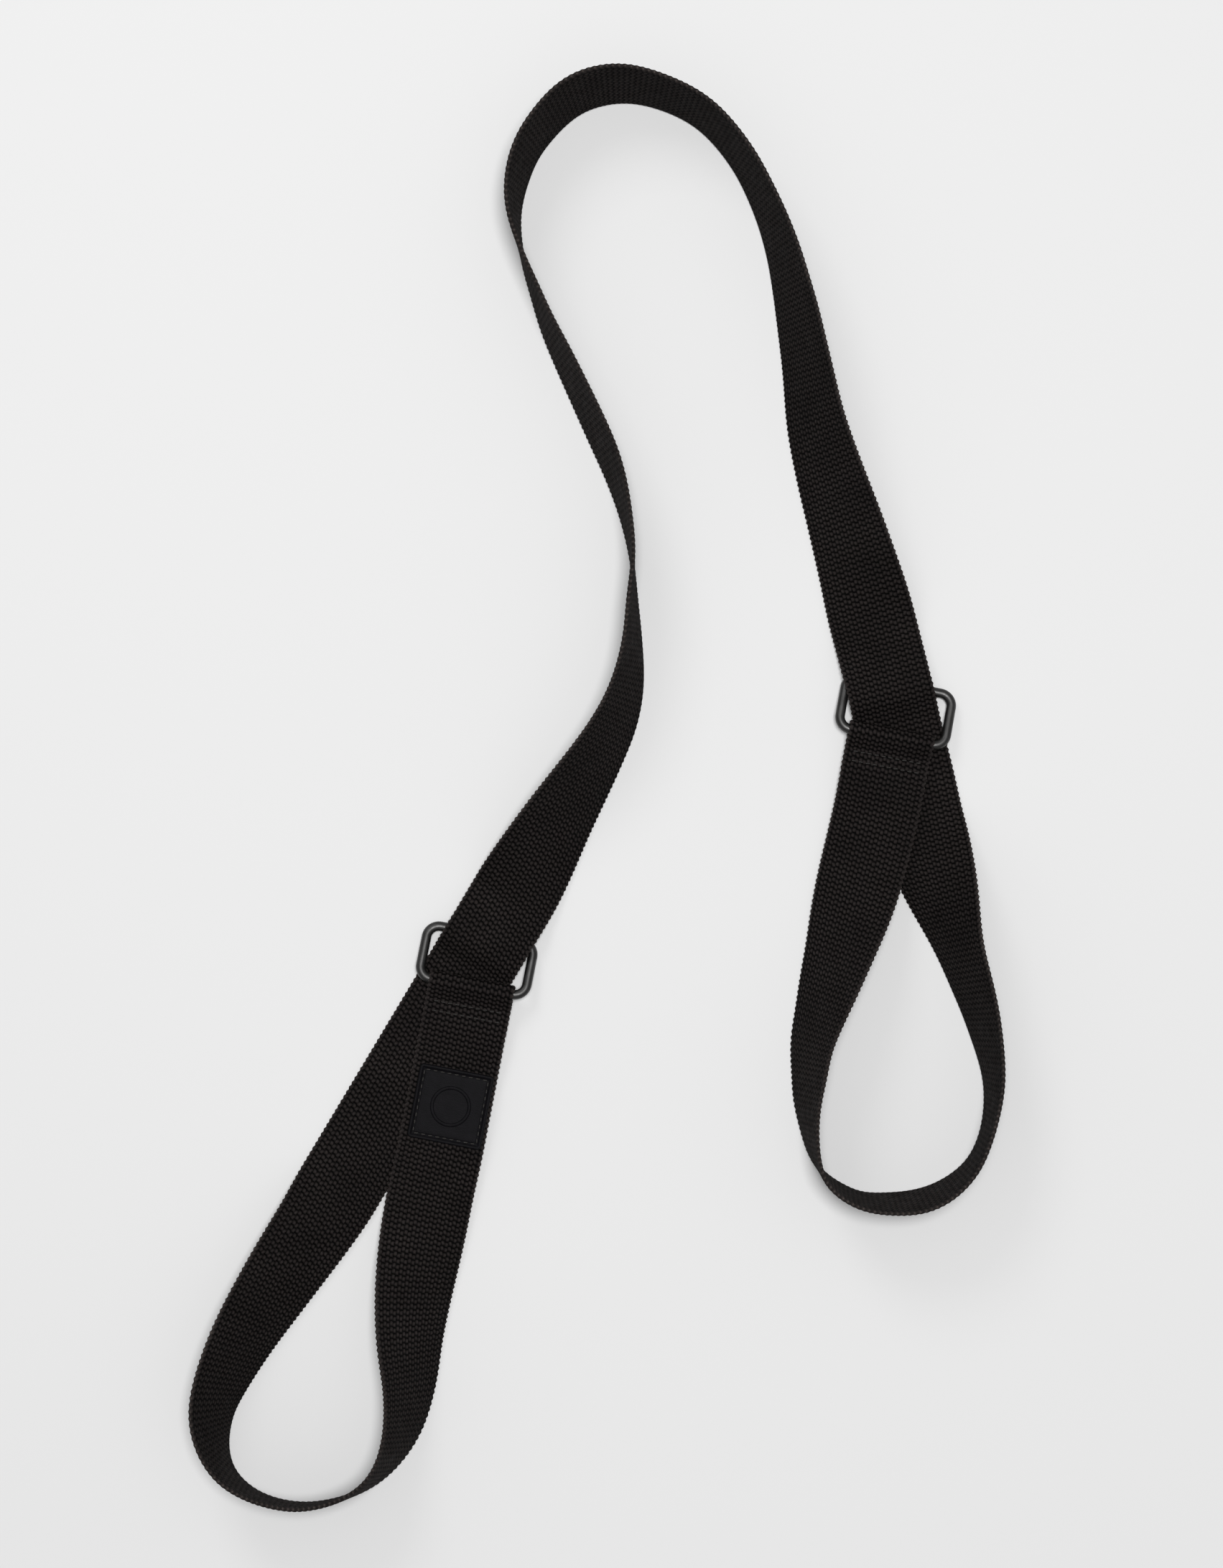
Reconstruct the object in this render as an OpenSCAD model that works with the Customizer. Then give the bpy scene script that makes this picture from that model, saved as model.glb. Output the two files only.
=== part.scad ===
/* [Webbing] */
// Width of the webbing
web_w = 38; // [30:1:40]
// Thickness of the webbing
web_t = 2.2; // [1.6:0.1:2.4]
// Bevel along each edge of the webbing
web_bevel = 0.5; // [0.2:0.1:0.7]

/* [Rings] */
// Outside width of each wire ring, along the bars
ring_w = 51.6; // [50:0.2:56]
// Outside length of each wire ring, from bar to bar
ring_l = 28; // [26:0.5:32]
// Diameter of the ring wire
wire_d = 4.2; // [3.4:0.1:4.2]
// Radius of the wire's centre line at each corner
corner_r = 5.5; // [4:0.5:8]
// Height of the bar that the webbing is sewn round
low_bar_z = 7.6; // [7:0.1:9]
// Height of the bar that the webbing runs over
top_bar_z = 2.3; // [2.2:0.1:3]

/* [Sewn ends] */
// Running clearance between the wire and the sleeve
sleeve_gap = 0.08; // [0.03:0.01:0.1]
// Clear gap between a sewn end and the webbing below it
lay_gap = 0.4; // [0.3:0.1:0.6]
// Distance from the bar to the first row of stitches
row_start = 9; // [8:0.5:12]
// Distance between the two rows of stitches
row_gap = 4.3; // [3:0.1:6]
// Length of one stitch
stitch_l = 2.1; // [1.5:0.1:2.4]
// Distance from one stitch to the next
stitch_pitch = 3.1; // [2.5:0.1:3.5]
// Distance from the webbing's edge to the first stitch of a row
stitch_margin = 2; // [1.5:0.1:3]
// Thickness of the thread
thread_d = 0.6; // [0.4:0.1:0.9]

/* [Patch] */
// Width and length of the square patch
patch_w = 33; // [26:0.5:34]
// Thickness of the patch at its rim
patch_t = 1.8; // [1.4:0.1:2.4]
// Radius of the patch's corners
patch_corner_r = 1.8; // [1:0.1:4]
// Width of the raised rim
rim_w = 1.4; // [1:0.1:2]
// Depth of the patch's face below its rim
rim_h = 0.5; // [0.3:0.1:0.8]
// Distance from the patch's edge to its row of stitches
patch_row_inset = 2.3; // [2:0.1:3.5]
// Length of one stitch in the patch
patch_stitch_l = 1.9; // [1.2:0.1:2.2]
// Outside diameter of the raised ring moulded on the patch
mark_d = 18; // [12:1:22]
// Width of the raised ring moulded on the patch
mark_w = 1.6; // [1:0.1:3]
// Distance from the bar to the middle of the patch
patch_from_bar = 53.5; // [52:0.5:56]
// Distance of the patch from the middle of the webbing, towards the right
patch_shift = 1; // [0:0.1:2]

/* [Hidden] */

// The webbing's middle line, from the bar of the left ring to the bar of the right one:
// x, y, roll about the line, and height above lying or standing on the floor.
// Roll 0 lies face up, 90 stands on edge, 180 lies face down.
route = [
    [-54.5, -85, 0, 4.9],
    [-58, -103, 0, 4.9],
    [-61.5, -121, 0, 2.8],
    [-65, -139, 0, 2.6],
    [-68.5, -157, 0, 2.6],
    [-74, -183, 4, 1.6],
    [-79, -214, 26, 0],
    [-81, -237, 42, 0],
    [-81, -259, 56, 0],
    [-84, -278, 66, 0],
    [-91, -293, 75, 0],
    [-101, -303, 80, 0],
    [-115, -309, 82, 0],
    [-130, -311, 83, 0],
    [-145, -308, 84, 0],
    [-156, -302, 88, 0],
    [-163, -294, 95, 0],
    [-167, -281, 107, 0],
    [-166, -265, 120, 0],
    [-155, -240, 135, 0],
    [-139, -214, 149, 0],
    [-121, -187, 164, 0],
    [-109, -167, 180, 0],
    [-73, -107, 180, 0],
    [-61, -87, 180, 0.2],
    [-55, -77, 180, 0.6],
    [-52, -72, 180, 3.6],
    [-49, -67, 180, 5.2],
    [-46, -62, 185, 3.6],
    [-43, -57, 184, 3.2],
    [-37, -47, 180, 2.6],
    [-27, -30, 160, 0],
    [-16, -11, 143, 0],
    [0, 15, 127, 0],
    [9, 32, 119, 0],
    [14, 48, 111, 0],
    [16, 66, 102, 0],
    [16, 84, 96, 0],
    [16, 103, 89, 0],
    [13, 122, 84, 0],
    [8, 140, 79, 0],
    [1, 157, 77, 0],
    [-13, 187, 79, 0],
    [-21, 204, 82, 0],
    [-27, 220, 86, 0],
    [-32, 234, 90, 0],
    [-36, 253, 97, 0],
    [-34, 270, 102, 0],
    [-27, 286, 104, 0],
    [-11, 303, 106, 0],
    [8, 309, 105, 0],
    [27, 306, 102, 0],
    [47, 296, 101, 0],
    [63, 278, 101, 0],
    [74, 257, 103, 0],
    [81, 238, 107, 0],
    [85, 222, 111, 0],
    [88, 208, 115, 0],
    [92, 186, 120, 0],
    [96, 162, 128, 0],
    [102, 140, 136, 0],
    [109, 118, 145, 0],
    [116, 95, 157, 0],
    [122, 74, 176, 1.4],
    [125, 62, 180, 4],
    [127, 54, 182, 5],
    [128.5, 48, 183, 5.1],
    [130, 42, 180, 5.7],
    [131.5, 36, 177, 1.6],
    [133, 30, 179, 0.2],
    [135, 22, 180, 0.1],
    [139, 6, 180, 0],
    [143.5, -14, 177, 0],
    [148, -32, 156, 0],
    [157, -63, 122, 0],
    [165, -87, 112, 0],
    [169, -101, 107, 0],
    [173, -121, 99, 0],
    [173, -135, 94, 0],
    [170, -150, 91, 0],
    [164, -163, 92, 0],
    [153, -173, 96, 0],
    [141, -178, 98, 0],
    [128, -179, 97, 0],
    [116, -178, 95, 0],
    [106, -173, 94, 0],
    [99, -167, 91, 0],
    [95, -158, 86, 0],
    [93, -147, 82, 0],
    [92, -135, 76, 0],
    [93, -122, 70, 0],
    [94, -110, 65, 0],
    [97, -99, 60, 0],
    [102, -83, 50, 0],
    [107, -67, 40, 1],
    [116, -37, 14, 1.4],
    [122.5, -11.5, 4, 2.6],
    [126, 6.5, 0, 4.9],
    [129.5, 24.5, 0, 4.9],
];

// Where the webbing is divided into nodes, as numbers in the route
left_leg_start = 1;
left_leg_end = 8;
left_bend_end = 22;
left_slab_end = 23;
left_web_end = 31;
run_bend_start = 43;
run_bend_end = 54;
right_web_start = 62;
right_web_end = 71;
right_back_end = 74;
right_bend_end = 93;
right_leg_end = 97;
last_knot = len(route) - 1;

// Sections swept between two knots of the webbing
run_steps = 2;
leg_steps = 3;

// Facets round the wire, round a stitch, round a small corner and round a wide curve
wire_sides = 24;
thread_sides = 16;
corner_sides = 32;
curve_sides = 48;

// Gap between the two layers of a sewn end
layer_gap = 0.1;
// How far ahead of the first stitches the two layers meet
pinch_lead = 1;
// Where the sleeve's crest starts to fall, along the leg and below the top
crest_run = 1;
crest_drop = 0.15;
// Clear gap below the patch
patch_seat = 0.3;
// Depth of the raised ring below the patch's rim
mark_drop = 0.1;
// Step along the route that gives its heading
heading_step = 0.01;

wire_r = wire_d / 2;
bar_span = ring_l - wire_d;
rail_x = (ring_w - wire_d) / 2;
ring_tilt = asin((low_bar_z - top_bar_z) / bar_span);
bore_r = wire_r + sleeve_gap;
sleeve_r = bore_r + web_t;
fold_l = norm([route[1].x - route[0].x, route[1].y - route[0].y]);
under_z = web_t + lay_gap;
over_z = under_z + web_t + layer_gap;
sewn_top_z = over_z + web_t;
stitch_count = floor((web_w - 2 * stitch_margin) / stitch_pitch);
patch_row = patch_w - 2 * patch_row_inset;
patch_stitches = floor(patch_row / stitch_pitch);
patch_pitch = patch_row / patch_stitches;
patch_z = web_t + route[3][3] + patch_seat;

// A smooth curve through the route's knots; u counts knots
function knot(i) = route[max(0, min(last_knot, i))];
function curve(a, b, c, d, t) =
    (2 * b + (c - a) * t + (2 * a - 5 * b + 4 * c - d) * t * t + (3 * b - a - 3 * c + d) * t * t * t) / 2;
function along(u) =
    let(i = floor(u))
    curve(knot(i - 1), knot(i), knot(i + 1), knot(i + 2), u - i);
function stand(roll, lift) = web_w / 2 * abs(sin(roll)) + web_t / 2 * abs(cos(roll)) + lift;
function middle(u) =
    let(p = along(u))
    [p.x, p.y, stand(p[2], p[3])];
function unit(v) = v / norm(v);
function heading(u) = unit(middle(u + heading_step) - middle(u - heading_step));
function across(u) =
    let(h = heading(u), roll = along(u)[2], side = unit([h.y, -h.x, 0]))
    cos(roll) * side + sin(roll) * [0, 0, 1];

// The webbing's cross-section: across its width, then through its thickness
web_section =
    let(w = web_w / 2, t = web_t / 2, b = web_bevel)
    [[w, t - b], [w - b, t], [b - w, t], [-w, t - b], [-w, b - t], [b - w, -t], [w - b, -t], [w, b - t]];
section_size = len(web_section);

function section_at(u) =
    let(m = middle(u), w = across(u), face = unit(cross(heading(u), w)))
    [for (q = web_section) m + q.x * w + q.y * face];

// A closed length of webbing that follows the route between two knots
module webbing(first, last, steps) {
    rings = (last - first) * steps;
    points = [for (j = [0:rings]) each section_at(first + j / steps)];
    start_cap = [for (k = [0:section_size - 1]) k];
    end_cap = [for (k = [section_size - 1:-1:0]) rings * section_size + k];
    sides = [
        for (j = [0:rings - 1], k = [0:section_size - 1])
            let(a = j * section_size + k, b = j * section_size + (k + 1) % section_size)
            each [[a, a + section_size, b + section_size], [a, b + section_size, b]]
    ];
    polyhedron(points, concat([start_cap, end_cap], sides), convexity = 10);
}

// A straight flat length of webbing between two knots
module flat_webbing(first, last) {
    a = knot(first);
    b = knot(last);
    translate([a.x, a.y, web_t / 2])
        rotate([0, 0, atan2(b.y - a.y, b.x - a.x)])
            rotate([90, 0, 90])
                linear_extrude(norm([b.x - a.x, b.y - a.y]))
                    polygon(web_section);
}

// Frame of a ring: the sewn bar lies along X through the origin's column, +Y points at the other bar
module at_bar(bar, next) {
    a = knot(bar);
    b = knot(next);
    translate([a.x, a.y, 0])
        rotate([0, 0, atan2(a.y - b.y, a.x - b.x) - 90])
            children();
}

module wire_corner(x, y, turn) {
    translate([x, y, 0])
        rotate([0, 0, turn])
            rotate_extrude(angle = 90, $fn = curve_sides)
                translate([corner_r, 0])
                    circle(r = wire_r, $fn = wire_sides);
}

module wire_bar(x, y, z_turn, length) {
    translate([x, y, 0])
        rotate([0, 90, z_turn])
            cylinder(r = wire_r, h = length, center = true, $fn = wire_sides);
}

// A rectangular ring of round wire, lying tilted on its far bar
module wire_ring(bar, next) {
    bar_l = 2 * (rail_x - corner_r);
    rail_l = bar_span - 2 * corner_r;
    at_bar(bar, next)
        translate([0, 0, low_bar_z])
            rotate([-ring_tilt, 0, 0]) {
                wire_bar(0, 0, 0, bar_l);
                wire_bar(0, bar_span, 0, bar_l);
                wire_bar(rail_x, bar_span / 2, 90, rail_l);
                wire_bar(-rail_x, bar_span / 2, 90, rail_l);
                wire_corner(rail_x - corner_r, bar_span - corner_r, 0);
                wire_corner(corner_r - rail_x, bar_span - corner_r, 90);
                wire_corner(corner_r - rail_x, corner_r, 180);
                wire_corner(rail_x - corner_r, corner_r, 270);
            }
}

// Side view of a sewn end: X runs from the bar along the leg, Y is height
module fold_outline() {
    pinch = row_start - pinch_lead;
    difference() {
        union() {
            translate([0, low_bar_z])
                circle(r = sleeve_r, $fn = curve_sides);
            polygon([
                [0, low_bar_z + sleeve_r], [0, low_bar_z], [bore_r, low_bar_z], [pinch, over_z],
                [fold_l, over_z], [fold_l, sewn_top_z], [pinch, sewn_top_z],
                [crest_run, low_bar_z + sleeve_r - crest_drop],
            ]);
            polygon([
                [0, low_bar_z - sleeve_r], [pinch, under_z], [fold_l, under_z],
                [fold_l, under_z + web_t], [pinch, under_z + web_t], [bore_r, low_bar_z], [0, low_bar_z],
            ]);
        }
        translate([0, low_bar_z])
            circle(r = bore_r, $fn = curve_sides);
    }
}

// The end of the webbing, folded round the bar and laid back under the leg
module tab_fold(bar, next) {
    at_bar(bar, next)
        translate([web_w / 2, 0, 0])
            rotate([90, 0, -90])
                linear_extrude(web_w)
                    fold_outline();
}

module stitch(length) {
    rotate([0, 90, 0])
        cylinder(d = thread_d, h = length, center = true, $fn = thread_sides);
}

// One row of stitches across the sewn end, lying on its upper face
module stitch_row(bar, next, from_bar) {
    at_bar(bar, next)
        for (i = [0:stitch_count - 1])
            translate([(i - (stitch_count - 1) / 2) * stitch_pitch, -from_bar, sewn_top_z + thread_d / 2])
                stitch(stitch_l);
}

module rounded_square(size, r) {
    hull()
        for (x = [-1, 1], y = [-1, 1])
            translate([x * (size / 2 - r), y * (size / 2 - r)])
                circle(r = r, $fn = corner_sides);
}

module on_patch() {
    at_bar(0, 1)
        translate([patch_shift, -patch_from_bar, patch_z])
            children();
}

module main_run_left() {
    color("#1c1816") webbing(left_web_end, run_bend_start, run_steps);
}

module main_run_bend() {
    color("#1c1816") webbing(run_bend_start, run_bend_end, run_steps);
}

module main_run_right() {
    color("#1c1816") webbing(run_bend_end, right_web_start, run_steps);
}

module left_front_leg() {
    color("#1f1b19") webbing(left_leg_start, left_leg_end, leg_steps);
}

module left_tab_fold() {
    color("#1f1b19") tab_fold(0, 1);
}

module left_loop_bend() {
    color("#1c1816") webbing(left_leg_end, left_bend_end, run_steps);
}

module left_back_leg() {
    color("#1c1816") flat_webbing(left_bend_end, left_slab_end);
}

module left_threaded_web() {
    color("#1c1816") webbing(left_slab_end, left_web_end, leg_steps);
}

module left_ring() {
    color("#3a3b3b") wire_ring(0, 1);
}

module left_stitch_row_near() {
    color("#2a2625") stitch_row(0, 1, row_start);
}

module left_stitch_row_far() {
    color("#2a2625") stitch_row(0, 1, row_start + row_gap);
}

module patch() {
    color("#212024") on_patch() {
        linear_extrude(patch_t - rim_h)
            rounded_square(patch_w, patch_corner_r);
        linear_extrude(patch_t)
            difference() {
                rounded_square(patch_w, patch_corner_r);
                rounded_square(patch_w - 2 * rim_w, patch_corner_r - rim_w / 2);
            }
        linear_extrude(patch_t - mark_drop)
            difference() {
                circle(d = mark_d, $fn = curve_sides);
                circle(d = mark_d - 2 * mark_w, $fn = curve_sides);
            }
    }
}

module patch_stitching() {
    color("#2b2a2f") on_patch()
        for (side = [0:3], i = [0:patch_stitches - 1])
            rotate([0, 0, 90 * side])
                translate([
                    (i + 0.5) * patch_pitch - patch_row / 2, patch_row / 2,
                    patch_t - rim_h + thread_d / 2,
                ])
                    stitch(patch_stitch_l);
}

module right_front_leg() {
    color("#1f1b19") webbing(right_bend_end, right_leg_end, leg_steps);
}

module right_tab_fold() {
    color("#1f1b19") tab_fold(last_knot, last_knot - 1);
}

module right_loop_bend() {
    color("#1c1816") webbing(right_back_end, right_bend_end, run_steps);
}

module right_back_leg() {
    color("#1c1816") webbing(right_web_end, right_back_end, leg_steps);
}

module right_threaded_web() {
    color("#1c1816") webbing(right_web_start, right_web_end, leg_steps);
}

module right_ring() {
    color("#3a3b3b") wire_ring(last_knot, last_knot - 1);
}

module right_stitch_row_near() {
    color("#2a2625") stitch_row(last_knot, last_knot - 1, row_start);
}

module right_stitch_row_far() {
    color("#2a2625") stitch_row(last_knot, last_knot - 1, row_start + row_gap);
}

main_run_left();
main_run_bend();
main_run_right();
left_front_leg();
left_tab_fold();
left_loop_bend();
left_back_leg();
left_threaded_web();
left_ring();
left_stitch_row_near();
left_stitch_row_far();
patch();
patch_stitching();
right_front_leg();
right_tab_fold();
right_loop_bend();
right_back_leg();
right_threaded_web();
right_ring();
right_stitch_row_near();
right_stitch_row_far();
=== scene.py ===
"""Black webbing stretching strap: a loop, a wire ring and a sewn end at each end of the webbing."""
import math

import bpy
import numpy as np
from mathutils import Matrix, Vector


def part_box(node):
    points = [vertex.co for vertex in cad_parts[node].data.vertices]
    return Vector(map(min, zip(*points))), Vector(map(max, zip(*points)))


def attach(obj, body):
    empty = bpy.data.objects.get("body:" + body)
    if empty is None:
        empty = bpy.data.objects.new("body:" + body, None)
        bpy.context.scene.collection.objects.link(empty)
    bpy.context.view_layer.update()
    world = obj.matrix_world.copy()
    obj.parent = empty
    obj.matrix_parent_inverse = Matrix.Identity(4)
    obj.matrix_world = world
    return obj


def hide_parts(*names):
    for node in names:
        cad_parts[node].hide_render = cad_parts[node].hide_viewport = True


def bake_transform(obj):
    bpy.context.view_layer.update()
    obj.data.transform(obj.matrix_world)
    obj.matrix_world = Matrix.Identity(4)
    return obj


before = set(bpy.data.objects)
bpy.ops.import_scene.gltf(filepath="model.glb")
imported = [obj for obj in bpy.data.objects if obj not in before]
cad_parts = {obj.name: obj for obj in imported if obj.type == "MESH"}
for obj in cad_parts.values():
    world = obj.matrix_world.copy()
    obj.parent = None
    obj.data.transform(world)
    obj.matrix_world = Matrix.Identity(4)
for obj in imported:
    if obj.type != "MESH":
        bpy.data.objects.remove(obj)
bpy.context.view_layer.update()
scene = bpy.context.scene

# ---------------------------------------------------------------- camera
CAMERA_AT = (0.0069, 0.0039, 1.6)   # straight above the object, looking down
VIEW_HEIGHT = 0.691                 # of the floor that the picture shows
SENSOR = 36.0                       # in millimetres, as Blender has it

lens = bpy.data.cameras.new("camera")
lens.sensor_fit = "VERTICAL"
lens.sensor_height = SENSOR
lens.lens = SENSOR * CAMERA_AT[2] / VIEW_HEIGHT
camera = bpy.data.objects.new("camera", lens)
camera.location = CAMERA_AT
scene.collection.objects.link(camera)
scene.camera = camera

# ---------------------------------------------------------------- sizes, in metres
WEB_W = 0.038
WEB_T = 0.0022
CELL_W = 0.00173        # one raised float of the weave, across the webbing
CELL_L = 0.0024         # and along it
CELL_COLUMNS = round(WEB_W / CELL_W)
COLUMN_SAMPLES = 3      # vertices across one float
ROW_SAMPLES = 4         # vertices along one float
PIT_DEPTH = 0.0005
EDGE_ROUND = 0.0011     # width over which the selvedge thins
EDGE_THIN = 0.0005
EDGE_SWELL = 0.00012    # how far the middle of the edge stands out
SELVEDGE = 0.0009       # width of the bound edge, where the floats give way to loops of thread
KNIT_LOW = 0.45         # height between two loops of the bound edge, as a share of a loop's
SCALLOP = 0.00026       # half the depth of the notches along the edge
ZIGZAG = 0.3            # how far each column of floats is offset from the next, in floats
COLUMN_FLOOR = 0.35     # height between two columns, as a share of a float's height
FLOAT_TONE = 0.8        # how far up the ramp of colours the floats reach; the bound edge reaches 1, painted lighter as a highlight

WIRE_R = 0.0021
RING_W = 0.0516
RING_L = 0.028
CORNER_R = 0.0055
LOW_BAR_Z = 0.0076      # middle of the bar in the sewn fold
TOP_BAR_Z = 0.0023      # middle of the ring's other bar

BORE_R = 0.00218        # inside radius of the fold round the bar
TAIL_Z = 0.0026         # underside of the tail
LEG_Z = 0.0049          # underside of the leg above the tail
FOLD_L = 0.01834        # from the bar to the tip of the tail
PINCH = 0.008           # where the two layers meet, from the bar
FOLD_STEP = 0.0002      # between the points of the fold's side view

PATCH_W = 0.033
PATCH_R = 0.0018
PATCH_FROM_BAR = 0.0535
PATCH_SHIFT = 0.001     # to the side of the leg's middle line
PATCH_ROW_INSET = 0.0023
MARK_R = 0.009          # outside radius of the plain ring on the patch
MARK_W = 0.0016

THREAD_R = 0.0003
STITCH_L = 0.0021
PATCH_STITCH_L = 0.0019
STITCH_PITCH = 0.0031
STITCH_MARGIN = 0.002   # from the webbing's edge to a row's first stitch
STITCH_DIVE = 0.00042   # how far a stitch's ends go down into the cloth
STITCH_LEAN = 1.5       # spread of the stitches' directions, in degrees
STITCH_SPREAD = 0.03    # and of their lengths, as a share
ROW_START = 0.009       # from the bar to the nearer row of stitches
ROW_GAP = 0.0043

KEY_AT = (0.13, 0.2, 3.0)
KEY_SIZE = 0.9
KEY_POWER = 65.0
FILL_AT = (-0.7, 1.4, 1.3)
FILL_SIZE = 0.8
FILL_POWER = 6.0
WORLD_STRENGTH = 0.22

# The webbing's middle line between the two sewn bars: x, y, roll in degrees, height above lying
ROUTE = [
    (-0.0545, -0.085, 0, 0.0049), (-0.058, -0.103, 0, 0.0049), (-0.0615, -0.121, 0, 0.0028),
    (-0.065, -0.139, 0, 0.0026), (-0.0685, -0.157, 0, 0.0026), (-0.074, -0.183, 4, 0.0016),
    (-0.079, -0.214, 26, 0), (-0.081, -0.237, 42, 0), (-0.081, -0.259, 56, 0),
    (-0.084, -0.278, 66, 0), (-0.091, -0.293, 75, 0), (-0.101, -0.303, 80, 0),
    (-0.115, -0.309, 82, 0), (-0.13, -0.311, 83, 0), (-0.145, -0.308, 84, 0),
    (-0.156, -0.302, 88, 0), (-0.163, -0.294, 95, 0), (-0.167, -0.281, 107, 0),
    (-0.166, -0.265, 120, 0), (-0.155, -0.24, 135, 0), (-0.139, -0.214, 149, 0),
    (-0.121, -0.187, 164, 0), (-0.109, -0.167, 180, 0), (-0.073, -0.107, 180, 0),
    (-0.061, -0.087, 180, 0.0002), (-0.055, -0.077, 180, 0.0006), (-0.052, -0.072, 180, 0.0036),
    (-0.049, -0.067, 180, 0.0052), (-0.046, -0.062, 185, 0.0036), (-0.043, -0.057, 184, 0.0032),
    (-0.037, -0.047, 180, 0.0026), (-0.027, -0.03, 160, 0), (-0.016, -0.011, 143, 0),
    (0, 0.015, 127, 0), (0.009, 0.032, 119, 0), (0.014, 0.048, 111, 0), (0.016, 0.066, 102, 0),
    (0.016, 0.084, 96, 0), (0.016, 0.103, 89, 0), (0.013, 0.122, 84, 0), (0.008, 0.14, 79, 0),
    (0.001, 0.157, 77, 0), (-0.013, 0.187, 79, 0), (-0.021, 0.204, 82, 0),
    (-0.027, 0.22, 86, 0), (-0.032, 0.234, 90, 0), (-0.036, 0.253, 97, 0),
    (-0.034, 0.27, 102, 0), (-0.027, 0.286, 104, 0), (-0.011, 0.303, 106, 0),
    (0.008, 0.309, 105, 0), (0.027, 0.306, 102, 0), (0.047, 0.296, 101, 0),
    (0.063, 0.278, 101, 0), (0.074, 0.257, 103, 0), (0.081, 0.238, 107, 0),
    (0.085, 0.222, 111, 0), (0.088, 0.208, 115, 0), (0.092, 0.186, 120, 0),
    (0.096, 0.162, 128, 0), (0.102, 0.14, 136, 0), (0.109, 0.118, 145, 0),
    (0.116, 0.095, 157, 0), (0.122, 0.074, 176, 0.0014), (0.125, 0.062, 180, 0.004),
    (0.127, 0.054, 182, 0.005), (0.1285, 0.048, 183, 0.0051), (0.13, 0.042, 180, 0.0057),
    (0.1315, 0.036, 177, 0.0016), (0.133, 0.03, 179, 0.0002), (0.135, 0.022, 180, 0.0001),
    (0.139, 0.006, 180, 0), (0.1435, -0.014, 177, 0), (0.148, -0.032, 156, 0),
    (0.157, -0.063, 122, 0), (0.165, -0.087, 112, 0), (0.169, -0.101, 107, 0),
    (0.173, -0.121, 99, 0), (0.173, -0.135, 94, 0), (0.17, -0.15, 91, 0),
    (0.164, -0.163, 92, 0), (0.153, -0.173, 96, 0), (0.141, -0.178, 98, 0),
    (0.128, -0.179, 97, 0), (0.116, -0.178, 95, 0), (0.106, -0.173, 94, 0),
    (0.099, -0.167, 91, 0), (0.095, -0.158, 86, 0), (0.093, -0.147, 82, 0),
    (0.092, -0.135, 76, 0), (0.093, -0.122, 70, 0), (0.094, -0.11, 65, 0),
    (0.097, -0.099, 60, 0), (0.102, -0.083, 50, 0), (0.107, -0.067, 40, 0.001),
    (0.116, -0.037, 14, 0.0014), (0.1225, -0.0115, 4, 0.0026), (0.126, 0.0065, 0, 0.0049),
    (0.1295, 0.0245, 0, 0.0049),
]
LAST = len(ROUTE) - 1
# Knots between which the webbing is clear of the rings and of itself, and fully so between the
# middle two. Its creases are smoothed out there, by two moving averages of this reach in rows.
FREE_LENGTHS = [(4.6, 5.6, 22.2, 22.5), (30.1, 30.7, 62.9, 63.7), (71.8, 72.4, 95.3, 95.8)]
RELAX_ROWS = 8


# ---------------------------------------------------------------- the webbing's path
def knot(i):
    return np.array(ROUTE[max(0, min(LAST, i))], float)


def along(u):
    """The route at knot number u, on a smooth curve through the knots."""
    i = math.floor(u)
    a, b, c, d = (knot(i + k) for k in (-1, 0, 1, 2))
    t = u - i
    square, cube = 2 * a - 5 * b + 4 * c - d, 3 * b - a - 3 * c + d
    return (2 * b + (c - a) * t + square * t**2 + cube * t**3) / 2


def middle(u):
    """The middle of the webbing at knot number u, lying on the floor at its roll, or lifted."""
    x, y, roll, lift = along(u)
    r = math.radians(roll)
    return np.array([x, y, WEB_W / 2 * abs(math.sin(r)) + WEB_T / 2 * abs(math.cos(r)) + lift])


def across(u):
    """Unit vector across the webbing at knot number u."""
    h = middle(u + 0.01) - middle(u - 0.01)
    side = np.array([h[1], -h[0], 0.0]) / math.hypot(h[0], h[1])
    r = math.radians(along(u)[2])
    return math.cos(r) * side + math.sin(r) * np.array([0.0, 0.0, 1.0])


def smooth(points, width):
    """A moving average that keeps the number of points."""
    ends = np.repeat(points[:1], width, 0), np.repeat(points[-1:], width, 0)
    padded = np.concatenate([ends[0], points, ends[1]])
    kernel = np.ones(2 * width + 1) / (2 * width + 1)
    columns = [np.convolve(padded[:, k], kernel, "valid") for k in range(points.shape[1])]
    return np.stack(columns, 1)


def run_along(points):
    """The distance along a line of points, at each of them."""
    steps = np.linalg.norm(np.diff(points, axis=0), axis=1)
    return np.concatenate([[0], np.cumsum(steps)])


def resampled(where, run, points):
    """The points of a line at other distances along it."""
    return np.stack([np.interp(where, run, points[:, k]) for k in range(points.shape[1])], 1)


def fold_path():
    """Side view of a sewn end from the tip of its tail, round the bar, to where the leg begins."""
    half = WEB_T / 2
    turn = BORE_R + half
    low, high = TAIL_Z + half, LEG_Z + half
    corners = [(FOLD_L, low), (PINCH + 0.001, low), (PINCH - 0.001, low + 0.00005)]
    for a in np.linspace(0.0, -math.pi, 60):
        corners.append((turn * math.sin(a), LOW_BAR_Z - turn * math.cos(a)))
    corners += [(0.0012, LOW_BAR_Z + turn - 0.0002), (PINCH - 0.0008, high + 0.0003)]
    corners += [(PINCH + 0.0012, high), (FOLD_L, high)]
    line = np.array(corners)
    run = run_along(line)
    return smooth(resampled(np.arange(0, run[-1], FOLD_STEP), run, line), 5)


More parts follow.
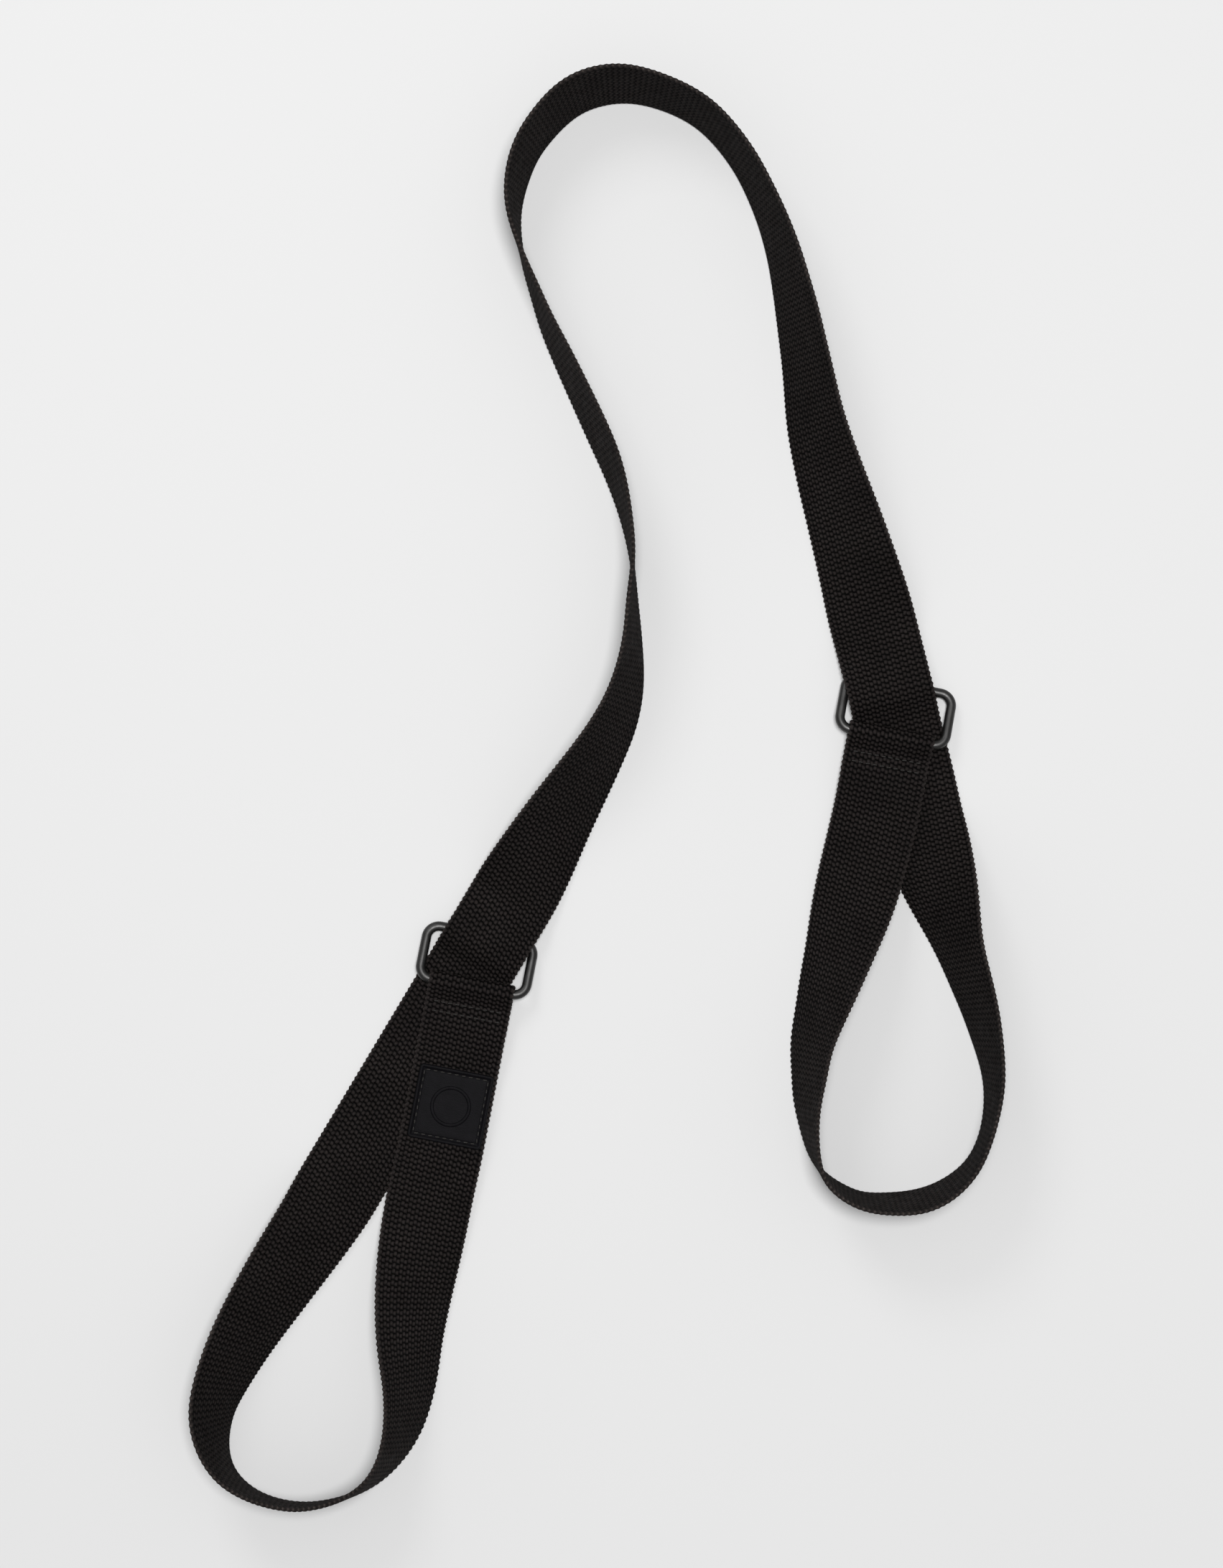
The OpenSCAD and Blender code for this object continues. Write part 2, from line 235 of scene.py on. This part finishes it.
def fold_points(bar, leg):
    """The fold in the row frame, and its direction across, for the bar at one end of the route."""
    base = knot(bar)[:2]
    out = knot(leg)[:2] - base
    out /= np.linalg.norm(out)
    side = across(leg)
    points = [[*(base + out * d), z] for d, z in fold_path()]
    return np.array(points), np.repeat(side[None], len(points), 0)


KNOT_STEPS = 40
leg_us = np.linspace(1, LAST - 1, (LAST - 2) * KNOT_STEPS + 1)
left_fold, left_side = fold_points(0, 1)
right_fold, right_side = fold_points(LAST, LAST - 1)
raw_points = np.concatenate([left_fold[:-1], [middle(u) for u in leg_us], right_fold[::-1][1:]])
raw_across = np.concatenate([left_side[:-1], [across(u) for u in leg_us], right_side[1:]])
raw_run = run_along(raw_points)

ROW_STEP = CELL_L / ROW_SAMPLES


def row_at(u):
    """The row of vertices nearest to knot number u."""
    run = raw_run[len(left_fold) - 1 + round((u - 1) * KNOT_STEPS)]
    return int(round(run / ROW_STEP))


def units(vectors):
    return vectors / np.linalg.norm(vectors, axis=1)[:, None]


def relaxed(rows):
    """The rows with the creases between knots smoothed out, on the free lengths."""
    share = np.zeros(len(rows))
    for length in FREE_LENGTHS:
        share += np.interp(np.arange(len(rows)), [row_at(u) for u in length], [0, 1, 1, 0])
    return rows + share[:, None] * (smooth(smooth(rows, RELAX_ROWS), RELAX_ROWS) - rows)


# Rows of vertices, evenly spaced from the tip of the left tail to the tip of the right one
row_run = np.arange(0, raw_run[-1], ROW_STEP)
row_points = relaxed(smooth(resampled(row_run, raw_run, raw_points), 1))
row_across = units(relaxed(resampled(row_run, raw_run, raw_across)))
row_along = units(np.gradient(row_points, axis=0))
row_face = units(np.cross(row_along, row_across))


# ---------------------------------------------------------------- materials
def material(name, colour, roughness, metallic=0.0):
    """A new material, with its nodes, its links and its shader."""
    mat = bpy.data.materials.new(name)
    mat.use_nodes = True
    shader = mat.node_tree.nodes["Principled BSDF"]
    shader.inputs["Base Color"].default_value = (*colour, 1)
    shader.inputs["Roughness"].default_value = roughness
    shader.inputs["Metallic"].default_value = metallic
    return mat, mat.node_tree.nodes, mat.node_tree.links, shader


def noise(nodes, links, where, scale, detail=3.0):
    tex = nodes.new("ShaderNodeTexNoise")
    tex.inputs["Scale"].default_value = scale
    tex.inputs["Detail"].default_value = detail
    links.new(where, tex.inputs["Vector"])
    return tex.outputs["Fac"]


def grey(value):
    return (value, value, value)


def ramp(nodes, links, value, stops):
    """Colours along a value."""
    node = nodes.new("ShaderNodeValToRGB")
    while len(node.color_ramp.elements) < len(stops):
        node.color_ramp.elements.new(0.5)
    for element, (position, colour) in zip(node.color_ramp.elements, stops):
        element.position = position
        element.color = (*colour, 1)
    links.new(value, node.inputs["Fac"])
    return node.outputs["Color"]


def bump(nodes, links, shader, height, depth, after=None):
    node = nodes.new("ShaderNodeBump")
    node.inputs["Distance"].default_value = depth
    links.new(height, node.inputs["Height"])
    if after:
        links.new(after, node.inputs["Normal"])
    links.new(node.outputs["Normal"], shader.inputs["Normal"])
    return node.outputs["Normal"]


def scaled(nodes, links, where, scale, turn=0.0):
    node = nodes.new("ShaderNodeMapping")
    node.inputs["Scale"].default_value = scale
    node.inputs["Rotation"].default_value = (0, 0, turn)
    links.new(where, node.inputs["Vector"])
    return node.outputs["Vector"]


def multiplied(nodes, links, a, b):
    node = nodes.new("ShaderNodeMix")
    node.data_type = "RGBA"
    node.blend_type = "MULTIPLY"
    node.inputs["Factor"].default_value = 1.0
    links.new(a, node.inputs["A"])
    links.new(b, node.inputs["B"])
    return node.outputs["Result"]


def webbing_material():
    """Dark polyester: pits between the floats painted near black as shade, the bound edge painted
    lighter as a highlight, fine filaments along each float, faint wear.
    """
    mat, nodes, links, shader = material("webbing", (0.02, 0.017, 0.015), 0.6)
    height = nodes.new("ShaderNodeAttribute")
    height.attribute_name = "float_height"
    cloth = nodes.new("ShaderNodeUVMap")
    cloth.uv_map = "cloth"
    place_node = nodes.new("ShaderNodeTexCoord")
    # Painted shade and highlight: the pits between floats and between the edge's loops are painted
    # near black as shade, the floats keep the cloth's own tone, and the bound edge is painted
    # lighter as a highlight.
    weave = ramp(nodes, links, height.outputs["Fac"], [
        (0.0, grey(0.0004)), (0.24, (0.0034, 0.0027, 0.0026)), (0.54, (0.0300, 0.0250, 0.0240)),
        (FLOAT_TONE, (0.048, 0.040, 0.038)), (1.0, (0.105, 0.088, 0.080)),
    ])
    blotch = ramp(nodes, links, noise(nodes, links, place_node.outputs["Object"], 55.0), [
        (0.3, grey(0.72)), (0.7, grey(1.0)),
    ])
    fibres = scaled(nodes, links, cloth.outputs["UV"], (1500, 420, 1))
    speck = ramp(nodes, links, noise(nodes, links, fibres, 1.0), [
        (0.3, grey(0.6)), (0.75, grey(1.0)),
    ])
    toned = multiplied(nodes, links, weave, blotch)
    links.new(multiplied(nodes, links, toned, speck), shader.inputs["Base Color"])
    filaments = nodes.new("ShaderNodeTexWave")
    filaments.inputs["Scale"].default_value = 1.0
    filaments.inputs["Distortion"].default_value = 2.5
    filaments.inputs["Detail Scale"].default_value = 2.0
    links.new(scaled(nodes, links, cloth.outputs["UV"], (1250, 160, 1)), filaments.inputs["Vector"])
    bump(nodes, links, shader, filaments.outputs["Fac"], 0.00007)
    gloss = ramp(nodes, links, noise(nodes, links, place_node.outputs["Object"], 240.0), [
        (0.3, grey(0.62)), (0.7, grey(0.85)),
    ])
    links.new(gloss, shader.inputs["Roughness"])
    shader.inputs["Specular IOR Level"].default_value = 0.06
    return mat


def wire_material():
    """Satin gunmetal plate with fine draw lines and small marks."""
    mat, nodes, links, shader = material("ring_wire", (0.07, 0.07, 0.07), 0.42, 1.0)
    place_node = nodes.new("ShaderNodeTexCoord")
    tone = ramp(nodes, links, noise(nodes, links, place_node.outputs["Object"], 170.0, 5.0), [
        (0.3, (0.062, 0.061, 0.060)), (0.7, (0.088, 0.087, 0.086)),
    ])
    links.new(tone, shader.inputs["Base Color"])
    rough = ramp(nodes, links, noise(nodes, links, place_node.outputs["Object"], 900.0, 4.0), [
        (0.3, grey(0.40)), (0.75, grey(0.50)),
    ])
    links.new(rough, shader.inputs["Roughness"])
    bump(nodes, links, shader, noise(nodes, links, place_node.outputs["Object"], 1500.0), 0.000006)
    return mat


def patch_material():
    """Matt black rubber with a fine grain over a slight unevenness."""
    mat, nodes, links, shader = material("patch_rubber", (0.003, 0.0027, 0.0036), 0.6)
    place_node = nodes.new("ShaderNodeTexCoord")
    tone = ramp(nodes, links, noise(nodes, links, place_node.outputs["Object"], 300.0, 5.0), [
        (0.3, (0.0022, 0.0019, 0.0027)), (0.7, (0.0040, 0.0035, 0.0048)),
    ])
    links.new(tone, shader.inputs["Base Color"])
    shader.inputs["Specular IOR Level"].default_value = 0.09
    fine = noise(nodes, links, place_node.outputs["Object"], 1700.0)
    broad = noise(nodes, links, place_node.outputs["Object"], 260.0)
    grain = bump(nodes, links, shader, fine, 0.00012)
    bump(nodes, links, shader, broad, 0.0001, grain)
    return mat


def thread_material():
    """Twisted sewing thread, with painted shade in the grooves of its twist."""
    mat, nodes, links, shader = material("thread", (0.036, 0.033, 0.032), 0.5)
    cloth = nodes.new("ShaderNodeUVMap")
    cloth.uv_map = "cloth"
    twist = nodes.new("ShaderNodeTexWave")
    twist.inputs["Scale"].default_value = 1.0
    twist.inputs["Distortion"].default_value = 0.6
    links.new(scaled(nodes, links, cloth.outputs["UV"], (900, 900, 1), 0.7), twist.inputs["Vector"])
    # Painted shade: the ramp follows the bump's wave, so the grooves of the twist are painted
    # darker and the ridges lighter.
    links.new(ramp(nodes, links, twist.outputs["Fac"], [
        (0.0, (0.009, 0.0082, 0.0078)), (1.0, (0.044, 0.040, 0.037)),
    ]), shader.inputs["Base Color"])
    bump(nodes, links, shader, twist.outputs["Fac"], 0.00012)
    return mat


WEBBING = webbing_material()
WIRE = wire_material()
RUBBER = patch_material()
THREAD = thread_material()


# ---------------------------------------------------------------- meshes
def new_piece(name, points, faces, mat, uvs=None, heights=None, sharp=None):
    """A smooth-shaded mesh object. uvs and heights are per vertex, and sharp lists the faces whose
    outline is a crease."""
    mesh = bpy.data.meshes.new(name)
    mesh.from_pydata([tuple(p) for p in points], [], faces)
    mesh.update()
    mesh.shade_smooth()
    if uvs is not None:
        layer = mesh.uv_layers.new(name="cloth")
        corner_vertex = np.empty(len(mesh.loops), np.int32)
        mesh.loops.foreach_get("vertex_index", corner_vertex)
        layer.data.foreach_set("uv", np.asarray(uvs, np.float32)[corner_vertex].ravel())
    if heights is not None:
        layer = mesh.attributes.new("float_height", "FLOAT", "POINT")
        layer.data.foreach_set("value", np.asarray(heights, np.float32))
    if sharp:
        rims = set(k for face in sharp for k in mesh.polygons[face].edge_keys)
        creased = np.array([edge.key in rims for edge in mesh.edges])
        mesh.attributes.new("sharp_edge", "BOOLEAN", "EDGE").data.foreach_set("value", creased)
    mesh.materials.append(mat)
    piece = bpy.data.objects.new(name, mesh)
    scene.collection.objects.link(piece)
    return piece


def float_height(s, run, back):
    """Height of the weave, 0 in a pit and 1 on a float, s metres from the left edge."""
    column = np.floor(s / CELL_W)
    a = s / CELL_W - column - 0.5
    b = run / CELL_L + ZIGZAG * (column % 2) + (0.5 if back else 0.0)
    b = b - np.floor(b) - 0.5
    lump = COLUMN_FLOOR + (1 - COLUMN_FLOOR) * np.clip(np.cos(np.pi * a), 0, 1) ** 0.8
    return lump * np.clip(np.cos(np.pi * b), 0, 1) ** 0.9


def section(run):
    """Offsets across and through the webbing at one row, with the tone of the weave at each."""
    s = np.linspace(0, WEB_W, CELL_COLUMNS * COLUMN_SAMPLES + 1)
    inset = np.minimum(s, WEB_W - s)
    thin = EDGE_THIN * (1 - np.clip(inset / EDGE_ROUND, 0, 1)) ** 2
    wave = SCALLOP * (1 - math.cos(2 * math.pi * run / CELL_L))
    x = (s - WEB_W / 2) * (1 - 2 * wave / WEB_W)
    bound = np.clip(inset / SELVEDGE, 0, 1)
    knit = KNIT_LOW + (1 - KNIT_LOW) * math.cos(math.pi * run / CELL_L) ** 2
    parts = []
    for back, sign in ((False, 1), (True, -1)):
        lift = bound * float_height(s, run, back) + (1 - bound) * knit
        # The tone sets the colour: low in the pits and between the edge's loops for painted shade,
        # highest on the bound edge for a painted highlight.
        tone = bound * FLOAT_TONE * float_height(s, run, back) + (1 - bound) * knit
        parts.append((x, sign * (WEB_T / 2 - thin - PIT_DEPTH * (1 - lift)), tone))
    top, bottom = parts
    edge = np.array([WEB_W / 2 - wave + EDGE_SWELL])
    xs = np.concatenate([top[0], edge, bottom[0][::-1], -edge])
    zs = np.concatenate([top[1], [0], bottom[1][::-1], [0]])
    heights = np.concatenate([top[2], [knit], bottom[2][::-1], [knit]])
    return xs, zs, heights


def webbing(name, first, last):
    """A closed length of the webbing between two rows of vertices."""
    points, heights, uvs = [], [], []
    for row in range(first, last + 1):
        xs, zs, tone = section(row_run[row])
        off = xs[:, None] * row_across[row] + zs[:, None] * row_face[row]
        points.append(row_points[row] + off)
        heights.append(tone)
        uvs.append(np.stack([xs + WEB_W * (zs < 0), np.full(len(xs), row_run[row])], 1))
    size = len(points[0])
    rows = last - first
    faces = []
    for j in range(rows):
        for k in range(size):
            a, b = j * size + k, j * size + (k + 1) % size
            faces.append((a, a + size, b + size, b))
    faces.append(tuple(range(size)))
    faces.append(tuple(rows * size + k for k in range(size - 1, -1, -1)))
    ends = (len(faces) - 2, len(faces) - 1)
    piece = new_piece(
        name, np.concatenate(points), faces, WEBBING,
        uvs=np.concatenate(uvs), heights=np.concatenate(heights), sharp=ends,
    )
    return piece


def blend_length(piece):
    """Bakes the piece's placement into its mesh and leaves it attached to no body; nothing is
    blended.
    """
    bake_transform(piece)


def tube(centre, radius, sides):
    """A closed tube round a closed line of points that lies in the plane z = 0."""
    centre = np.asarray(centre)
    ahead = units(np.roll(centre, -1, 0) - np.roll(centre, 1, 0))
    out = np.stack([ahead[:, 1], -ahead[:, 0], np.zeros(len(ahead))], 1)
    angles = np.linspace(0, 2 * math.pi, sides, endpoint=False)
    points = [
        c + radius * (math.cos(t) * o + math.sin(t) * np.array([0.0, 0.0, 1.0]))
        for c, o in zip(centre, out) for t in angles
    ]
    faces = []
    for i in range(len(centre)):
        here, there = i * sides, (i + 1) % len(centre) * sides
        for k in range(sides):
            after = (k + 1) % sides
            faces.append((here + k, there + k, there + after, here + after))
    return points, faces


def rounded_rectangle(half_x, half_y, r, arc_steps, side_steps):
    """Points of a rectangle with round corners, round its own centre, anticlockwise."""
    corners = ((1, 1), (-1, 1), (-1, -1), (1, -1))

    def on_arc(corner, angle):
        sx, sy = corners[corner % 4]
        return (sx * (half_x - r) + r * math.cos(angle), sy * (half_y - r) + r * math.sin(angle), 0)

    points = []
    for q in range(4):
        for t in np.linspace(0, math.pi / 2, arc_steps):
            points.append(on_arc(q, q * math.pi / 2 + t))
        here, there = points[-1], on_arc(q + 1, (q + 1) * math.pi / 2)
        for t in np.linspace(0, 1, side_steps)[1:-1]:
            points.append(tuple(h + (e - h) * t for h, e in zip(here, there)))
    return points


def at_bar(bar, leg):
    """Frame of a sewn end: X along the bar, Y towards the ring's other bar, Z up, on the floor."""
    base, other = knot(bar)[:2], knot(leg)[:2]
    ahead = Vector((*(base - other), 0)).normalized()
    side = Vector((ahead.y, -ahead.x, 0))
    return Matrix((
        (side.x, ahead.x, 0, base[0]), (side.y, ahead.y, 0, base[1]), (0, 0, 1, 0), (0, 0, 0, 1),
    ))


def moved(points, matrix):
    return [tuple(matrix @ Vector(p)) for p in points]


def wire_ring(name, node, body, bar, leg):
    span = RING_L - 2 * WIRE_R
    tilt = -math.asin((LOW_BAR_Z - TOP_BAR_Z) / span)
    line = rounded_rectangle(RING_W / 2 - WIRE_R, span / 2, CORNER_R, 14, 12)
    points, faces = tube(line, WIRE_R, 28)
    lay = at_bar(bar, leg) @ Matrix.Translation((0, 0, LOW_BAR_Z)) @ Matrix.Rotation(tilt, 4, "X")
    piece = new_piece(name, moved(points, lay @ Matrix.Translation((0, span / 2, 0))), faces, WIRE)
    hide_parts(node)
    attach(piece, body)
    return piece


def closed_stack(loops):
    """Faces that join loops of equally many points, closed at both ends."""
    size = len(loops[0])
    faces = [tuple(range(size - 1, -1, -1))]
    for j in range(len(loops) - 1):
        for k in range(size):
            a, b = j * size + k, j * size + (k + 1) % size
            faces.append((a, b, b + size, a + size))
    faces.append(tuple((len(loops) - 1) * size + k for k in range(size)))
    return faces


def rubber_patch():
    """The square patch: a rounded rim, a lower face and a channel that the stitches lie in.
    Returns where it lies."""
    # Inset from the outline, height
    profile = [
        (0.0005, 0), (0.0001, 0.0003), (0, 0.0008), (0.0001, 0.0014), (0.0003, 0.0017),
        (0.0006, 0.0018), (0.0010, 0.0018), (0.0013, 0.0017), (0.0015, 0.0014), (0.0017, 0.0013),
        (0.0019, 0.0012), (0.0021, 0.00105), (0.0025, 0.00105), (0.0028, 0.00125),
        (0.0031, 0.0013), (0.0045, 0.0013), (0.008, 0.0013), (0.012, 0.0013), (0.0155, 0.0013),
    ]
    loops = []
    for inset, height in profile:
        half = PATCH_W / 2 - inset
        r = max(PATCH_R - inset, 0.0004)
        loops.append([(x, y, height) for x, y, _ in rounded_rectangle(half, half, r, 12, 30)])
    lay = at_bar(0, 1) @ Matrix.Translation((PATCH_SHIFT, -PATCH_FROM_BAR, patch_z))
    points = moved([p for loop in loops for p in loop], lay)
    piece = new_piece("patch", points, closed_stack(loops), RUBBER, sharp=(0,))
    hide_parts("patch")
    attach(piece, "left_end")
    # A plain raised ring, its top slightly crowned: distance from its middle, height
    outline = [
        (MARK_R - share * MARK_W, height)
        for share, height in (
            (1, 0.0010), (1, 0.0014), (0.8, 0.00162), (0.5, 0.0017), (0.2, 0.00162), (0, 0.0014),
            (0, 0.0010),
        )
    ]
    steps = 120
    points = [
        (r * math.cos(t), r * math.sin(t), z)
        for t in np.linspace(0, 2 * math.pi, steps, endpoint=False) for r, z in outline
    ]
    size = len(outline)
    faces = []
    for i in range(steps):
        here, there = i * size, (i + 1) % steps * size
        for k in range(size):
            after = (k + 1) % size
            faces.append((there + k, there + after, here + after, here + k))
    mark = new_piece("patch_ring_mark", moved(points, lay), faces, RUBBER)
    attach(mark, "left_end")
    return lay


def stitches(name, places, length, body, *nodes):
    """One mesh of many stitches: each rises from the cloth, lies along it and dives back in."""
    rng = np.random.default_rng(len(name))
    sides, steps = 12, 14
    points, faces, uvs = [], [], []
    for lay in places:
        lean = rng.normal(0, math.radians(STITCH_LEAN))
        reach = length / 2 * (1 + rng.normal(0, STITCH_SPREAD))
        start = len(points)
        for i in range(steps):
            t = 2 * i / (steps - 1) - 1
            fat = THREAD_R * (1 - 0.45 * abs(t) ** 5)
            drop = -STITCH_DIVE * abs(t) ** 3.5
            for k in range(sides):
                a = 2 * math.pi * k / sides
                local = Vector((reach * t, fat * math.cos(a), fat * 0.85 * math.sin(a) + drop))
                points.append(tuple(lay @ Matrix.Rotation(lean, 4, "Z") @ local))
                uvs.append((reach * t, a * THREAD_R))
        for i in range(steps - 1):
            for k in range(sides):
                a, b = start + i * sides + k, start + i * sides + (k + 1) % sides
                faces.append((a, b, b + sides, a + sides))
        faces.append(tuple(start + k for k in range(sides - 1, -1, -1)))
        faces.append(tuple(start + (steps - 1) * sides + k for k in range(sides)))
    piece = new_piece(name, points, [f[::-1] for f in faces], THREAD, uvs)
    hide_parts(*nodes)
    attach(piece, body)
    return piece


def row_places(bar, leg, from_bar):
    """Where the stitches of one row across a sewn end lie."""
    count = int((WEB_W - 2 * STITCH_MARGIN) / STITCH_PITCH)
    top = LEG_Z + WEB_T + THREAD_R * 0.35
    base = at_bar(bar, leg)
    spots = [((i - (count - 1) / 2) * STITCH_PITCH, -from_bar, top) for i in range(count)]
    return [base @ Matrix.Translation(spot) for spot in spots]


def patch_places(lay):
    """Where the stitches round the patch lie."""
    row = PATCH_W - 2 * PATCH_ROW_INSET
    count = int(row / STITCH_PITCH)
    places = []
    for side in range(4):
        turn = Matrix.Rotation(side * math.pi / 2, 4, "Z")
        for i in range(count):
            spot = Vector(((i + 0.5) * row / count - row / 2, row / 2, 0.0014))
            places.append(lay @ turn @ Matrix.Translation(spot))
    return places


# ---------------------------------------------------------------- the floor and the light
def floor():
    mesh = bpy.data.meshes.new("floor")
    mesh.from_pydata([(-4, -4, 0), (4, -4, 0), (4, 4, 0), (-4, 4, 0)], [], [(0, 1, 2, 3)])
    mesh.materials.append(material("floor", grey(0.83), 0.9)[0])
    piece = bpy.data.objects.new("floor", mesh)
    scene.collection.objects.link(piece)


def area_light(name, place_at, size, power):
    """A round soft light that faces the middle of the floor."""
    data = bpy.data.lights.new(name, "AREA")
    data.shape = "DISK"
    data.size = size
    data.energy = power
    lamp = bpy.data.objects.new(name, data)
    lamp.location = place_at
    lamp.rotation_euler = (-Vector(place_at)).to_track_quat("-Z", "Y").to_euler()
    scene.collection.objects.link(lamp)


def light():
    world = bpy.data.worlds.new("world")
    world.use_nodes = True
    background = world.node_tree.nodes["Background"]
    background.inputs["Color"].default_value = (1.0, 1.0, 1.0, 1)
    background.inputs["Strength"].default_value = WORLD_STRENGTH
    scene.world = world
    area_light("key", KEY_AT, KEY_SIZE, KEY_POWER)
    area_light("fill", FILL_AT, FILL_SIZE, FILL_POWER)
    scene.view_settings.view_transform = "Standard"


# ---------------------------------------------------------------- the object
patch_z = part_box("patch")[0][2]

floor()
light()

tip = len(row_run) - 1
# name, first and last knot, body at the start, body at the end, CAD nodes that it stands for
LENGTHS = [
    ("left_sewn_leg", None, 15, "left_end", "left_end", ("left_front_leg", "left_tab_fold")),
    ("left_loop", 15, 22, "left_end", "strap", ("left_loop_bend",)),
    ("left_under_leg", 22, 24.5, "strap", "left_end", ("left_back_leg",)),
    ("left_rise", 24.5, 27, "left_end", "left_wire", ("left_threaded_web",)),
    ("left_fall", 27, 30, "left_wire", "left_end", ()),
    ("left_run_out", 30, 34, "left_end", "strap", ()),
    ("run_left", 34, 44, "strap", "strap", ("main_run_left",)),
    ("run_bend", 44, 54, "strap", "strap", ("main_run_bend",)),
    ("run_right", 54, 59.5, "strap", "strap", ("main_run_right",)),
    ("right_run_in", 59.5, 62.5, "strap", "right_end", ()),
    ("right_rise", 62.5, 66, "right_end", "right_wire", ("right_threaded_web",)),
    ("right_fall", 66, 69.5, "right_wire", "right_end", ()),
    ("right_under_leg", 69.5, 74, "right_end", "strap", ("right_back_leg",)),
    ("right_loop", 74, 81, "strap", "right_end", ("right_loop_bend",)),
    ("right_sewn_leg", 81, None, "right_end", "right_end", ("right_front_leg", "right_tab_fold")),
]
for name, first, last, body_a, body_b, stands_for in LENGTHS:
    start = 0 if first is None else row_at(first)
    end = tip if last is None else row_at(last)
    piece = webbing(name, start, end)
    if stands_for:
        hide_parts(*stands_for)
    if body_a == body_b:
        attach(piece, body_a)
    else:
        blend_length(piece)

wire_ring("left_wire_ring", "left_ring", "left_wire", 0, 1)
wire_ring("right_wire_ring", "right_ring", "right_wire", LAST, LAST - 1)
patch_frame = rubber_patch()
stitches(
    "patch_stitches", patch_places(patch_frame), PATCH_STITCH_L, "left_end", "patch_stitching",
)
for side, bar, leg in (("left", 0, 1), ("right", LAST, LAST - 1)):
    for spot, distance in (("near", ROW_START), ("far", ROW_START + ROW_GAP)):
        places = row_places(bar, leg, distance)
        node = f"{side}_stitch_row_{spot}"
        stitches(f"{side}_stitches_{spot}", places, STITCH_L, f"{side}_end", node)
